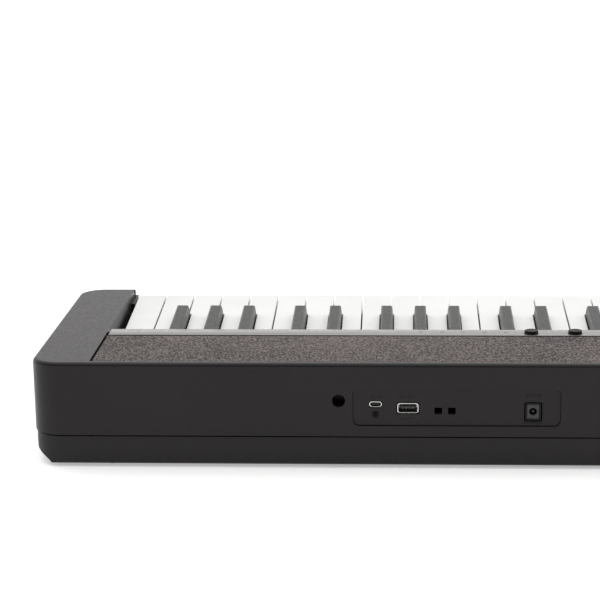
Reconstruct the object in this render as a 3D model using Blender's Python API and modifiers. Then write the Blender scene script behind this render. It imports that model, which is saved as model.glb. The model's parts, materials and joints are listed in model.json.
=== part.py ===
# A slim portable keyboard with 61 keys, five octaves from C2 to C7.
#
# Metres, +Z up. The origin is the middle of the footprint, on the table. The player sits at -Y, the
# terminals are on the +Y face, and the treble end is at +X. The whole top is one plane that falls
# towards the player: the end blocks, the control strip and the speaker grille all lie in it.

import math

import bmesh
import bpy
from mathutils import Matrix, Vector

# Case: its width and depth follow from the keys, the end blocks, the strip and the grille
block_width = 0.0428
rear_height = 0.0790
front_height = 0.0582
base_height = 0.0017
parting_height = 0.0239
parting_gap = 0.0006
lower_set_in = 0.0009
case_wall = 0.0025
tongue_wall = 0.0015
tongue_rise = 0.0025
plan_radius = 0.020
top_edge_radius = 0.0030
underside_rise = 0.0097
underside_step = 0.0034
end_taper = 0.0138
front_taper = 0.018
taper_break = 0.75
base_edge_radius = 0.005
base_corner_radius = 0.002
step_radius = 0.003
shoulder_radius = 0.005
front_rail_height = 0.0362
rib_wall = 0.0020
rib_from_front = 0.0200
rib_from_hinge = 0.0080
fit_gap = 0.0003

# Keys
octave_count = 5
comb_octaves = (2, 3, 4)
first_octave = 2
white_pitch = 0.0232
white_gap = 0.0010
white_setback = 0.0058
white_visible = 0.1432
white_drop = 0.0036
white_depth = 0.0150
white_lip_depth = 0.0190
white_lip_thickness = 0.0032
white_lip_return = 0.0064
white_edge_radius = 0.0012
white_top_wall = 0.0025
black_rise = 0.0110
black_base_width = 0.0098
black_top_width = 0.0083
black_gap = 0.0007
black_setback = 0.0537
black_nose_run = 0.0040
black_nose_drop = 0.0045
black_brow_run = 0.0110
black_nose_radius = 0.0060
black_top_radius = 0.0012
black_corner_radius = 0.0016
black_below_white = 0.0016
black_front_wall = 0.0060
notch_gap = 0.0010
key_wall = 0.0018
key_side_gap = 0.0040

# Hinge line of the keys, under the front of the grille
hinge_behind_strip = 0.0270
hinge_below_top = 0.0084
tail_behind_hinge = 0.0040
frame_from_tail = 0.0010
comb_rail_depth = 0.0035
white_tail_rise = 0.0020
white_tail_run = 0.0050
black_tail_rise = 0.0065
black_tail_lift = 0.0022
strip_gap = 0.0008
hollow_from_hinge = 0.0080

# Key frame and contacts, under the keys
frame_from_floor = 0.0040
frame_wall = 0.0025
frame_rail = 0.0040
frame_gap = 0.0020
rail_above_hinge = 0.0080
guide_below_lip = 0.0125
contact_below_key = 0.0125
contact_front = 0.0500
contact_rear = 0.0200
contact_end_gap = 0.0060
dome_margin = 0.0060
dome_height = 0.0028

# Control strip and grille, from front to rear
strip_depth = 0.0199
grille_depth = 0.0816
block_draft = 0.0011
block_lip_height = 0.0095
cheek_width = 0.0026
cheek_height = 0.0100
cheek_below_key = 0.0010
cheek_end = -0.1000
rear_rim = 0.0055
grille_gap = 0.0011
end_groove = 0.0019
end_slit_length = 0.0100
end_slit_depth = 0.0018
cloth_thickness = 0.0006
cloth_sunk = 0.0002
panel_thickness = 0.0018
grille_ledge = 0.0045
grille_wall = 0.0012

# Buttons, knob and indicator lamps
button_radius = 0.0051
button_rise = 0.0027
button_pitch = 0.0325
first_button_x = 0.1038
button_count = 4
button_from_grille = 0.0080
lamp_radius = 0.0013
lamp_pitch = 0.0159
first_lamp_x = 0.1861
lamp_count = 5
lamp_from_grille = 0.0115
power_x = -0.3850
power_radius = 0.0045
knob_x = -0.3450
power_rise = 0.0016
knob_radius = 0.0080
knob_height = 0.0085
knob_shaft_radius = 0.0040
knob_bevel = 0.0012
knob_bevel_depth = 0.0008
knob_draft = 0.0006
knob_mark_width = 0.0012
knob_mark_depth = 0.0006
knob_mark_start = 0.0028
control_gap = 0.0004
cap_chamfer = 0.0006
flange_width = 0.0012
flange_thickness = 0.0012
stem_radius = 0.0027
stem_length = 0.0024
lamp_gap = 0.0002
lamp_sunk = 0.0006
board_below_top = 0.0085
board_thickness = 0.0016
board_margin = 0.0100
board_from_strip = 0.0040
board_from_grille = 0.0005

# Speakers
speaker_x = 0.3300
speaker_radius = 0.0290
speaker_cone_radius = 0.0240
speaker_depth = 0.0260
speaker_flange = 0.0020
surround_depth = 0.0015
surround_width = 0.0020
cone_depth = 0.0104
dust_cap_radius = 0.0075
dust_cap_rise = 0.0040
basket_depth = 0.0143
magnet_radius = 0.0150

# Terminals on the rear face: x from the middle, and height above the parting line
recess_low_x = 0.0882
recess_high_x = 0.2350
recess_low = 0.0085
recess_high = 0.0366
recess_radius = 0.0045
recess_sunk = 0.0012
plate_thickness = 0.0022
plate_overlap = 0.0025
plate_relief = 0.0010
small_port_place = (0.2188, 0.0245)
small_port_size = (0.0090, 0.0042)
small_port_radius = 0.00205
small_tongue_size = (0.0056, 0.0008)
large_port_place = (0.1959, 0.0217)
large_port_size = (0.0149, 0.0074)
large_port_radius = 0.0008
large_tongue_size = (0.0107, 0.0019)
port_margin = 0.0009
port_wall = 0.0006
port_length = 0.0120
port_sunk = 0.0001
tongue_sunk = 0.0015
back_wall = 0.0015
tie_slot_places = ((0.1745, 0.0196), (0.1649, 0.0196))
tie_slot_size = (0.0054, 0.0051)
tie_slot_radius = 0.0006
power_socket_place = (0.1076, 0.0191)
power_socket_size = (0.0108, 0.0129)
power_socket_radius = 0.0006
power_frame_size = (0.0147, 0.0168)
power_frame_radius = 0.0020
power_frame_sunk = 0.0005
power_socket_sunk = 0.0004
power_bore_radius = 0.00275
power_pin_radius = 0.0009
power_pin_sunk = 0.0010
port_screw_place = (0.2188, 0.0169)
screw_head_radius = 0.00215
screw_head_rise = 0.0009
screw_shank_radius = 0.0011
screw_length = 0.0060
screw_seat_depth = 0.0005
cross_reach = 0.00135
cross_half_width = 0.0003
cross_depth = 0.0005
strap_hole_place = (0.2450, 0.0273)
strap_hole_radius = 0.0047
strap_hole_depth = 0.0120
strap_boss_wall = 0.0022
headphone_jack_place = (-0.2188, 0.0217)
pedal_jack_place = (-0.1880, 0.0217)
jack_bore_radius = 0.0032
jack_sleeve_radius = 0.0045
jack_body_size = 0.0130
jack_length = 0.0180
jack_sunk = 0.0004
main_board_below_recess = 0.0055
main_board_gap = 0.0040

# Underside
foot_radius = 0.0060
foot_height = 0.0032
foot_chamfer = 0.0008
foot_inset_x = 0.0560
foot_from_rear = 0.0130
foot_from_front = 0.0300
bay_low_x = -0.1500
bay_width = 0.1040
bay_depth = 0.0465
bay_height = 0.0155
bay_wall = 0.0015
bay_from_rear = 0.0030
cover_lip = 0.0030
cover_thickness = 0.0013
thumb_notch_width = 0.0200
thumb_notch_depth = 0.0008

# Places that follow from the sizes above
case_depth = white_setback + white_visible + strip_depth + grille_depth + rear_rim
half_depth = case_depth / 2
slope = math.atan2(rear_height - front_height, case_depth)
top_plane = Matrix.Translation((0, 0, (rear_height + front_height) / 2)) @ Matrix.Rotation(slope, 4, "X")
white_count = octave_count * 7 + 1
keybed_half = white_count * white_pitch / 2
block_inner = keybed_half - white_gap / 2 + key_side_gap + block_draft
half_width = block_inner + block_width
white_top = front_height - white_drop
white_bottom = white_top - white_depth
key_front = -half_depth + white_setback
strip_front = key_front + white_visible
black_front = key_front + black_setback
notch_front = black_front - notch_gap
hinge_y = strip_front + hinge_behind_strip
hinge_z = white_top - hinge_below_top
tail_end = hinge_y + tail_behind_hinge

# Along the sloping top
strip_start = strip_front / math.cos(slope)
grille_start = (strip_front + strip_depth) / math.cos(slope)
grille_end = (half_depth - rear_rim) / math.cos(slope)
grille_middle = (grille_start + grille_end) / 2
control_row = grille_start - button_from_grille
lamp_row = grille_start - lamp_from_grille
pocket_depth = cloth_sunk + cloth_thickness + panel_thickness + 2 * fit_gap
floor_top = base_height + case_wall
frame_bottom = floor_top + frame_from_floor
frame_rear = tail_end + frame_from_tail
bay_top = floor_top + bay_height
bay_rear = half_depth - case_wall - tongue_wall - bay_from_rear
contact_level = white_bottom - contact_below_key

# On the rear wall
wall_inside = half_depth - case_wall - fit_gap
pad_face = half_depth - recess_sunk
recess_low_z = parting_height + recess_low
recess_high_z = parting_height + recess_high

facing_rear = Matrix.Rotation(math.pi / 2, 4, "X")
facing_side = Matrix(((0, 0, 1, 0), (1, 0, 0, 0), (0, 1, 0, 0), (0, 0, 0, 1)))

# How far a cutter runs: past everything, through a wall, and clear of the face it starts from
beyond = 2.0
through = 0.02
clear = 0.01
arc_steps = 5
weld_distance = 0.000001


# Shapes

def new_object(name, mesh):
    shape = bpy.data.objects.new(name, mesh)
    workshop.objects.link(shape)
    return shape


def from_bmesh(name, shape_data):
    mesh = bpy.data.meshes.new(name)
    bmesh.ops.recalc_face_normals(shape_data, faces=shape_data.faces)
    if shape_data.calc_volume(signed=True) < 0:
        bmesh.ops.reverse_faces(shape_data, faces=shape_data.faces)
    shape_data.to_mesh(mesh)
    shape_data.free()
    return new_object(name, mesh)


def evaluated_mesh(shape):
    depsgraph = bpy.context.evaluated_depsgraph_get()
    return bpy.data.meshes.new_from_object(shape.evaluated_get(depsgraph))


def box(name, low, high):
    shape_data = bmesh.new()
    bmesh.ops.create_cube(shape_data, size=1)
    size = Vector(high) - Vector(low)
    centre = (Vector(high) + Vector(low)) / 2
    shape_data.transform(Matrix.Translation(centre) @ Matrix.Diagonal((*size, 1)))
    return from_bmesh(name, shape_data)


def band(name, low_z, high_z):
    """A slab right across the object between two heights."""
    return box(name, (-beyond, -beyond, low_z), (beyond, beyond, high_z))


def cylinder(name, radius, start, end, segments=24):
    start = Vector(start)
    along = Vector(end) - start
    shape_data = bmesh.new()
    bmesh.ops.create_cone(
        shape_data, cap_ends=True, segments=segments, radius1=radius, radius2=radius, depth=along.length
    )
    turn = along.to_track_quat("Z", "Y").to_matrix().to_4x4()
    shape_data.transform(Matrix.Translation(start + along / 2) @ turn)
    return from_bmesh(name, shape_data)


def prism(name, outline, thickness, turn=Matrix.Identity(4), centre=(0, 0, 0)):
    curve = bpy.data.curves.new(name, "CURVE")
    curve.dimensions = "2D"
    curve.fill_mode = "BOTH"
    curve.extrude = thickness / 2
    spline = curve.splines.new("POLY")
    spline.points.add(len(outline) - 1)
    for point, (across, up) in zip(spline.points, outline):
        point.co = (across, up, 0, 1)
    spline.use_cyclic_u = True
    guide = new_object(name, curve)
    bpy.context.view_layer.update()
    mesh = evaluated_mesh(guide)
    bpy.data.objects.remove(guide)
    bpy.data.curves.remove(curve)
    shape_data = bmesh.new()
    shape_data.from_mesh(mesh)
    bpy.data.meshes.remove(mesh)
    bmesh.ops.remove_doubles(shape_data, verts=shape_data.verts, dist=weld_distance)
    shape_data.transform(Matrix.Translation(centre) @ turn)
    return from_bmesh(name, shape_data)


def turned(name, profile, segments=24):
    # The profile runs down the outer side, top to bottom, and starts and ends on the axis.
    mesh = bpy.data.meshes.new(name)
    points = [(radius, 0, height) for radius, height in profile]
    edges = [(index, index + 1) for index in range(len(points) - 1)]
    mesh.from_pydata(points, edges, [])
    guide = new_object(name, mesh)
    screw = guide.modifiers.new("turn", "SCREW")
    screw.steps = segments
    screw.render_steps = segments
    screw.use_merge_vertices = True
    screw.merge_threshold = weld_distance
    bpy.context.view_layer.update()
    shape_data = bmesh.new()
    shape_data.from_mesh(evaluated_mesh(guide))
    bpy.data.objects.remove(guide)
    bmesh.ops.remove_doubles(shape_data, verts=shape_data.verts, dist=weld_distance)
    return from_bmesh(name, shape_data)


def combine(shape, others, operation):
    for other in others:
        other.display_type = "WIRE"
        other.hide_render = True
        modifier = shape.modifiers.new(operation.lower(), "BOOLEAN")
        modifier.operation = operation
        modifier.solver = "EXACT"
        modifier.object = other
    bpy.context.view_layer.update()
    mesh = evaluated_mesh(shape)
    shape.modifiers.clear()
    shape.data = mesh
    for other in others:
        bpy.data.objects.remove(other)
    return shape


def cut(shape, *others):
    return combine(shape, others, "DIFFERENCE")


def join(shape, *others):
    return combine(shape, others, "UNION")


def keep_inside(shape, *others):
    return combine(shape, others, "INTERSECT")


def tidy_faces(shape):
    shape_data = bmesh.new()
    shape_data.from_mesh(shape.data)
    bmesh.ops.remove_doubles(shape_data, verts=shape_data.verts, dist=2 * weld_distance)
    bmesh.ops.dissolve_limit(
        shape_data, angle_limit=0.0005, verts=shape_data.verts, edges=shape_data.edges
    )
    shape_data.to_mesh(shape.data)
    shape_data.free()
    return shape


# Outlines

def rounded(corners, steps=arc_steps):
    """An outline from corners of (across, up, radius), with an arc at each corner that has a radius."""
    outline = []
    for index, (across, up, radius) in enumerate(corners):
        corner = Vector((across, up))
        if radius <= 0:
            outline.append((across, up))
            continue
        before = (Vector(corners[index - 1][:2]) - corner).normalized()
        after = (Vector(corners[(index + 1) % len(corners)][:2]) - corner).normalized()
        half_angle = before.angle(after) / 2
        reach = radius / math.tan(half_angle)
        centre = corner + (before + after).normalized() * (radius / math.sin(half_angle))
        start = corner + before * reach - centre
        turn = start.angle_signed(corner + after * reach - centre)
        for step in range(steps + 1):
            swing = -turn * step / steps
            outline.append((
                centre.x + start.x * math.cos(swing) - start.y * math.sin(swing),
                centre.y + start.x * math.sin(swing) + start.y * math.cos(swing),
            ))
    return outline


def inset(corners, distance):
    """The same corners with every side moved inwards. The corners run anticlockwise."""
    moved = []
    for index, (across, up, radius) in enumerate(corners):
        corner = Vector((across, up))
        along_in = (corner - Vector(corners[index - 1][:2])).normalized()
        along_out = (Vector(corners[(index + 1) % len(corners)][:2]) - corner).normalized()
        inward_in = Vector((-along_in.y, along_in.x))
        inward_out = Vector((-along_out.y, along_out.x))
        shift = (inward_in + inward_out) * (distance / (1 + inward_in.dot(inward_out)))
        place = corner + shift
        moved.append((place.x, place.y, max(radius - distance, 0)))
    return moved


def rectangle(low_across, low_up, high_across, high_up, radius=0):
    return [
        (low_across, low_up, radius), (high_across, low_up, radius),
        (high_across, high_up, radius), (low_across, high_up, radius),
    ]


def around(centre, size, margin=0, radius=0):
    half_across = size[0] / 2 + margin
    half_up = size[1] / 2 + margin
    return rectangle(
        centre[0] - half_across, centre[1] - half_up, centre[0] + half_across, centre[1] + half_up, radius
    )


def rear_prism(name, corners, low_y, high_y):
    """A prism whose outline is seen from the front, between two depths."""
    centre = (0, (low_y + high_y) / 2, 0)
    return prism(name, rounded(corners), high_y - low_y, facing_rear, centre)


def plane_box(name, low, high):
    """A box along the sloping top: across, up the slope, and out of the surface."""
    shape = box(name, low, high)
    shape.data.transform(top_plane)
    return shape


def plane_cylinder(name, radius, x, along, low, high, segments=24):
    shape = cylinder(name, radius, (x, along, low), (x, along, high), segments)
    shape.data.transform(top_plane)
    return shape


def above_parting(place):
    """The x and z of a terminal given by its height above the parting line."""
    return place[0], parting_height + place[1]


def across_wall(centre, inner, outer):
    """Two points on a line through the rear wall, measured from its face."""
    return (centre[0], half_depth + inner, centre[1]), (centre[0], half_depth + outer, centre[1])


# Case

def case_plan():
    return rectangle(-half_width, -half_depth, half_width, half_depth, plan_radius)


def case_end_section():
    shoulder = base_height + underside_rise
    step = base_height + underside_step
    foot_half = half_width - end_taper
    step_half = half_width - end_taper * taper_break
    return [
        (-foot_half, base_height, base_corner_radius), (foot_half, base_height, base_corner_radius),
        (step_half, step, step_radius), (half_width, shoulder, shoulder_radius),
        (half_width, beyond, 0), (-half_width, beyond, 0),
        (-half_width, shoulder, shoulder_radius), (-step_half, step, step_radius),
    ]


def case_side_section():
    shoulder = base_height + underside_rise
    step = base_height + underside_step
    return [
        (-half_depth + front_taper, base_height, base_corner_radius),
        (half_depth, base_height, base_edge_radius),
        (half_depth, rear_height, 0), (-half_depth, front_height, 0),
        (-half_depth, shoulder, shoulder_radius),
        (-half_depth + front_taper * taper_break, step, step_radius),
    ]


def envelope(name, distance):
    """The outside of the case moved inwards: its plan, its end view and its side view, intersected."""
    plan = prism(name, rounded(inset(case_plan(), distance), 8), 2 * beyond)
    ends = prism("ends", rounded(inset(case_end_section(), distance)), 2 * beyond, facing_rear)
    sides = prism("sides", rounded(inset(case_side_section(), distance)), 2 * beyond, facing_side)
    return tidy_faces(keep_inside(plan, ends, sides))


def round_top_edge(shape):
    """A small radius all round the sloping top."""
    into_plane = top_plane.inverted()
    shape_data = bmesh.new()
    shape_data.from_mesh(shape.data)
    rim = [
        edge for edge in shape_data.edges
        if all(abs((into_plane @ vertex.co).z) < 0.00002 for vertex in edge.verts)
        and edge.calc_face_angle(0) > 0.5
    ]
    bmesh.ops.bevel(
        shape_data, geom=rim, offset=top_edge_radius, segments=3, profile=0.5, affect="EDGES"
    )
    shape_data.to_mesh(shape.data)
    shape_data.free()
    return shape


def make_lower_case():
    """A tray with a tongue round its rim. It is hollow, but for two ribs and the battery bay."""
    outer = envelope("lower_case", 0)
    keep_inside(outer, prism("set_in", rounded(inset(case_plan(), lower_set_in), 8), 2 * beyond))
    cut(outer, band("above", parting_height - parting_gap / 2, beyond))
    neck = parting_height - underside_rise / 2
    tongue = envelope("tongue", case_wall + fit_gap)
    join(outer, keep_inside(tongue, band("rim", neck, parting_height + tongue_rise)))
    cavity = keep_inside(envelope("cavity", case_wall), band("low", -beyond, neck))
    throat = envelope("throat", case_wall + fit_gap + tongue_wall)
    join(cavity, keep_inside(throat, band("high", neck - fit_gap, beyond)))
    cut(cavity, bay_box("bay_walls", bay_wall, floor_top - fit_gap, bay_top + bay_wall))
    for low_y in (key_front + rib_from_front, hinge_y - rib_from_hinge - rib_wall):
        cut(cavity, box(
            "rib", (-keybed_half, low_y, 0), (keybed_half, low_y + rib_wall, frame_bottom - fit_gap)
        ))
    cover_seat_top = base_height + cover_thickness + fit_gap
    cut(
        outer,
        cavity,
        bay_box("bay", 0, -clear, bay_top),
        bay_box("cover_seat", cover_lip, -clear, cover_seat_top),
    )
    for x, y in foot_places():
        cut(outer, cylinder(
            "foot_seat", foot_radius + fit_gap, (x, y, -clear), (x, y, foot_height + fit_gap)
        ))
    return tidy_faces(outer)


def bay_box(name, margin, low_z, high_z):
    return box(
        name,
        (bay_low_x - margin, bay_rear - bay_depth - margin, low_z),
        (bay_low_x + bay_width + margin, bay_rear + margin, high_z),
    )


def foot_places():
    return [
        (side * (half_width - foot_inset_x), y)
        for side in (-1, 1) for y in (-half_depth + foot_from_front, half_depth - foot_from_rear)
    ]


def make_upper_case():
    shell = round_top_edge(envelope("upper_case", 0))
    cut(shell, band("below", -beyond, parting_height + parting_gap / 2))
    cut(shell, upper_cavity())
    cut(shell, key_opening(), front_notch(), *grille_opening())
    cut(shell, *panel_holes())
    cut(shell, *rear_holes())
    cut(shell, plate_pocket())
    return tidy_faces(shell)


def upper_cavity():
    """The hollow of the upper case, less the walls and bosses that stand in it."""
    cavity = envelope("cavity", case_wall)
    wall_foot = parting_height + tongue_rise + parting_gap
    wall_end = strip_front + strip_depth
    boss_radius = strap_hole_radius + strap_boss_wall
    for side in (-1, 1):
        across = sorted((side * (block_inner - block_draft), side * (block_inner + case_wall)))
        cut(cavity, box("block_wall", (across[0], -beyond, wall_foot), (across[1], wall_end, beyond)))
        x, z = above_parting(strap_hole_place)
        boss_line = across_wall((side * x, z), -strap_hole_depth - strap_boss_wall, 0)
        cut(cavity, cylinder("boss", boss_radius, *boss_line))
    cut(cavity, *front_cheeks())
    reach = block_inner + case_wall + grille_ledge
    deep = pocket_depth + case_wall
    cut(cavity, plane_box(
        "grille_seat", (-reach, grille_start - grille_wall, -deep), (reach, half_depth + clear, clear)
    ))
    return cavity


def key_opening():
    """Between the end blocks, from the front rail to the control strip. The block faces are drafted."""
    lower_half = block_inner - block_draft
    lean = (block_draft - fit_gap) / block_lip_height
    upper_half = lower_half + lean * (block_lip_height + clear)
    corners = [
        (-lower_half, -beyond, 0), (lower_half, -beyond, 0), (lower_half, -block_lip_height, 0),
        (upper_half, clear, 0), (-upper_half, clear, 0), (-lower_half, -block_lip_height, 0),
    ]
    opening = rear_prism("key_opening", corners, -beyond, strip_start)
    opening.data.transform(top_plane)
    cut(opening, *front_cheeks())
    front = -half_depth + case_wall
    return keep_inside(opening, box("behind_rail", (-beyond, front, -beyond), (beyond, beyond, beyond)))


def front_notch():
    notch = box(
        "front_notch",
        (-block_inner + block_draft, -half_depth - clear, front_rail_height),
        (block_inner - block_draft, -half_depth + case_wall + clear, beyond),
    )
    return cut(notch, *front_cheeks())


def front_cheeks():
    """Beside the front of the end keys, each block has a low cheek that closes the gap."""
    top = white_top - cheek_below_key
    front = -half_depth + case_wall - fit_gap
    inner = block_inner - block_draft - cheek_width
    cheeks = []
    for side in (-1, 1):
        across = sorted((side * inner, side * (block_inner + fit_gap)))
        cheeks.append(box("cheek", (across[0], front, top - cheek_height), (across[1], cheek_end, top)))
    return cheeks


def grille_opening():
    inner_start = grille_start + grille_ledge
    inner_end = grille_end - grille_ledge
    inner_half = block_inner - grille_ledge
    openings = [
        plane_box("pocket", (-block_inner, grille_start, -pocket_depth), (block_inner, grille_end, clear)),
        plane_box("window", (-inner_half, inner_start, -through), (inner_half, inner_end, clear)),
    ]
    # The groove at each end of the grille runs on into the strip.
    for side in (-1, 1):
        across = sorted((side * block_inner, side * (block_inner - end_groove)))
        openings.append(plane_box(
            "slit", (across[0], grille_start - end_slit_length, -end_slit_depth),
            (across[1], grille_start + grille_gap, clear),
        ))
    return openings


def button_places():
    return [first_button_x - index * button_pitch for index in range(button_count)]


def lamp_places():
    return [first_lamp_x - index * lamp_pitch for index in range(lamp_count)]


def panel_holes():
    holes = [(x, control_row, button_radius + control_gap) for x in button_places()]
    holes += [(x, lamp_row, lamp_radius + lamp_gap) for x in lamp_places()]
    holes.append((power_x, control_row, power_radius + control_gap))
    holes.append((knob_x, control_row, knob_shaft_radius + control_gap))
    return [plane_cylinder("hole", radius, x, along, -through, through) for x, along, radius in holes]


def recess_corners(margin):
    radius = max(recess_radius + margin, fit_gap)
    return rectangle(
        recess_low_x - margin, recess_low_z - margin, recess_high_x + margin, recess_high_z + margin, radius
    )


def rear_holes():
    x, z = above_parting(strap_hole_place)
    holes = [rear_prism("recess", recess_corners(0), half_depth - through, half_depth + clear)]
    for place in ((x, z), (-x, z)):
        holes.append(cylinder(
            "strap", strap_hole_radius, *across_wall(place, -strap_hole_depth, clear), 32
        ))
    for place in (headphone_jack_place, pedal_jack_place):
        sleeve_line = across_wall(above_parting(place), -through, clear)
        holes.append(cylinder("jack", jack_sleeve_radius + control_gap, *sleeve_line))
    return holes


def plate_pocket():
    """Room for the terminal plate where it bears on the inside of the rear wall."""
    return rear_prism(
        "plate_pocket", recess_corners(plate_overlap + plate_relief),
        wall_inside - plate_thickness - plate_relief, half_depth - case_wall,
    )


# Grille

def make_grille_panel():
    top = -cloth_sunk - cloth_thickness - fit_gap
    half = block_inner - end_groove
    panel = plane_box(
        "grille_panel", (-half, grille_start + grille_gap, top - panel_thickness),
        (half, grille_end - grille_gap, top),
    )
    cut(panel, *[
        plane_cylinder(
            "sound_hole", speaker_cone_radius, side * speaker_x, grille_middle, -through, through, 32
        )
        for side in (-1, 1)
    ])
    return tidy_faces(panel)


def make_grille_cloth():
    half = block_inner - end_groove
    return plane_box(
        "grille_cloth", (-half, grille_start + grille_gap, -cloth_sunk - cloth_thickness),
        (half, grille_end - grille_gap, -cloth_sunk),
    )


def make_speaker(name, side):
    """Dust cap, cone, surround, flange, basket and magnet, turned about the speaker's own axis."""
    cone_edge = speaker_cone_radius - surround_width
    flange_back = speaker_radius - speaker_flange
    profile = [
        (0, dust_cap_rise - cone_depth), (dust_cap_radius * 0.9, dust_cap_rise * 0.5 - cone_depth),
        (dust_cap_radius, -cone_depth), (cone_edge, -surround_depth), (speaker_cone_radius, 0),
        (speaker_radius, 0), (speaker_radius, -speaker_flange), (flange_back, -speaker_flange),
        (magnet_radius + speaker_flange, -basket_depth), (magnet_radius, -basket_depth),
        (magnet_radius, -speaker_depth), (0, -speaker_depth),
    ]
    speaker = turned(name, profile)
    below = -pocket_depth - case_wall - fit_gap
    speaker.data.transform(top_plane @ Matrix.Translation((side * speaker_x, grille_middle, below)))
    return speaker


# Controls

def set_origin(shape, place):
    place = Vector(place)
    shape.data.transform(Matrix.Translation(-place))
    shape.location = place
    return shape


def stand_on_top(shape, x):
    """Moves a shape from the origin to the row of controls, and leaves its origin on its own axis."""
    place = top_plane @ Matrix.Translation((x, control_row, 0))
    shape.data.transform(place)
    return set_origin(shape, place.translation)


def make_push_button(name, x, radius, rise):
    """A cap through the strip, a flange that holds it in and a stem towards the control board."""
    flange_top = -case_wall - fit_gap
    flange_bottom = flange_top - flange_thickness
    profile = [
        (0, rise), (radius - cap_chamfer, rise), (radius, rise - cap_chamfer), (radius, flange_top),
        (radius + flange_width, flange_top), (radius + flange_width, flange_bottom),
        (stem_radius, flange_bottom), (stem_radius, flange_bottom - stem_length),
        (0, flange_bottom - stem_length),
    ]
    return stand_on_top(turned(name, profile), x)


def make_volume_knob():
    bevel_radius = knob_radius - knob_draft
    shaft_end = -case_wall - fit_gap - flange_thickness - stem_length
    profile = [
        (0, knob_height), (bevel_radius - knob_bevel, knob_height),
        (bevel_radius, knob_height - knob_bevel_depth), (knob_radius, control_gap),
        (knob_shaft_radius, control_gap), (knob_shaft_radius, shaft_end), (0, shaft_end),
    ]
    knob = turned("volume_knob", profile, 36)
    cut(knob, box(
        "mark", (-knob_mark_width / 2, knob_mark_start, knob_height - knob_mark_depth),
        (knob_mark_width / 2, knob_radius + clear, knob_height + clear),
    ))
    return stand_on_top(knob, knob_x)


def make_control_board():
    """The board under the strip, with the indicator lamps that reach up into their holes."""
    bottom = -board_below_top - board_thickness
    board = plane_box(
        "control_board", (power_x - board_margin, strip_start + board_from_strip, bottom),
        (first_lamp_x + board_margin, grille_start - board_from_grille, -board_below_top),
    )
    lamps = [
        plane_cylinder("lamp", lamp_radius, x, lamp_row, bottom + board_thickness / 2, -lamp_sunk, 12)
        for x in lamp_places()
    ]
    return tidy_faces(join(board, *lamps))


# Terminals

def make_terminal_plate():
    """A pad that fills the recess, on a plate that bears on the inside of the rear wall."""
    plate = rear_prism(
        "terminal_plate", recess_corners(plate_overlap), wall_inside - plate_thickness, wall_inside
    )
    join(plate, rear_prism("pad", recess_corners(-fit_gap), wall_inside - plate_thickness / 2, pad_face))
    depths = (half_depth - through, half_depth + clear)
    openings = []
    for place in tie_slot_places:
        corners = around(above_parting(place), tie_slot_size, 0, tie_slot_radius)
        openings.append(rear_prism("tie_slot", corners, *depths))
    for place, size, radius in (
        (small_port_place, small_port_size, small_port_radius),
        (large_port_place, large_port_size, large_port_radius),
        (power_socket_place, power_socket_size, power_socket_radius),
    ):
        corners = around(above_parting(place), size, port_margin, radius + port_margin)
        openings.append(rear_prism("port_hole", corners, *depths))
    frame = around(above_parting(power_socket_place), power_frame_size, 0, power_frame_radius)
    openings.append(rear_prism("socket_frame", frame, pad_face - power_frame_sunk, half_depth + clear))
    screw = above_parting(port_screw_place)
    seat_line = across_wall(screw, -recess_sunk - screw_seat_depth, clear)
    openings.append(cylinder("screw_seat", screw_head_radius + fit_gap, *seat_line))
    hole_line = across_wall(screw, -through, clear)
    openings.append(cylinder("screw_hole", screw_shank_radius + fit_gap, *hole_line, 12))
    return tidy_faces(cut(plate, *openings))


def make_port_screw():
    """A pan head with a cross recess, and its shank through the plate."""
    x, z = above_parting(port_screw_place)
    seat = -recess_sunk - screw_seat_depth + fit_gap
    top = seat + screw_head_rise
    screw = cylinder("port_screw", screw_head_radius, *across_wall((x, z), seat, top))
    shank_line = across_wall((x, z), seat - screw_length, seat + screw_head_rise / 3)
    join(screw, cylinder("shank", screw_shank_radius, *shank_line, 12))
    cross_bottom = half_depth + top - cross_depth
    for across, up in ((cross_reach, cross_half_width), (cross_half_width, cross_reach)):
        cut(screw, box("cross", (x - across, cross_bottom, z - up), (x + across, half_depth + clear, z + up)))
    return tidy_faces(screw)


def make_port(name, place, size, radius, tongue_size):
    """A metal shell with a closed back and a contact tongue."""
    centre = above_parting(place)
    face = pad_face - port_sunk
    back = face - port_length
    inner_radius = max(radius - port_wall, 0)
    port = rear_prism(name, around(centre, size, 0, radius), back, face)
    mouth = rear_prism(
        "mouth", around(centre, size, -port_wall, inner_radius), back + back_wall, face + clear
    )
    tongue = rear_prism("tongue", around(centre, tongue_size), back + back_wall / 2, face - tongue_sunk)
    return tidy_faces(join(cut(port, mouth), tongue))


def make_power_socket():
    face = pad_face - power_frame_sunk - power_socket_sunk
    back = face - port_length
    x, z = above_parting(power_socket_place)
    corners = around((x, z), power_socket_size, 0, power_socket_radius)
    socket = rear_prism("power_socket", corners, back, face)
    cut(socket, cylinder("bore", power_bore_radius, (x, back + back_wall, z), (x, face + clear, z)))
    pin_line = ((x, back + back_wall / 2, z), (x, face - power_pin_sunk, z))
    return tidy_faces(join(socket, cylinder("pin", power_pin_radius, *pin_line, 12)))


def make_jack(name, place):
    x, z = above_parting(place)
    face = half_depth - jack_sunk
    shoulder = wall_inside
    back = shoulder - jack_length
    half = jack_body_size / 2
    jack = box(name, (x - half, back, z - half), (x + half, shoulder, z + half))
    sleeve_start = shoulder - back_wall
    join(jack, cylinder("sleeve", jack_sleeve_radius, (x, sleeve_start, z), (x, face, z)))
    cut(jack, cylinder("bore", jack_bore_radius, (x, back + back_wall, z), (x, face + clear, z)))
    return tidy_faces(jack)


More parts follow.
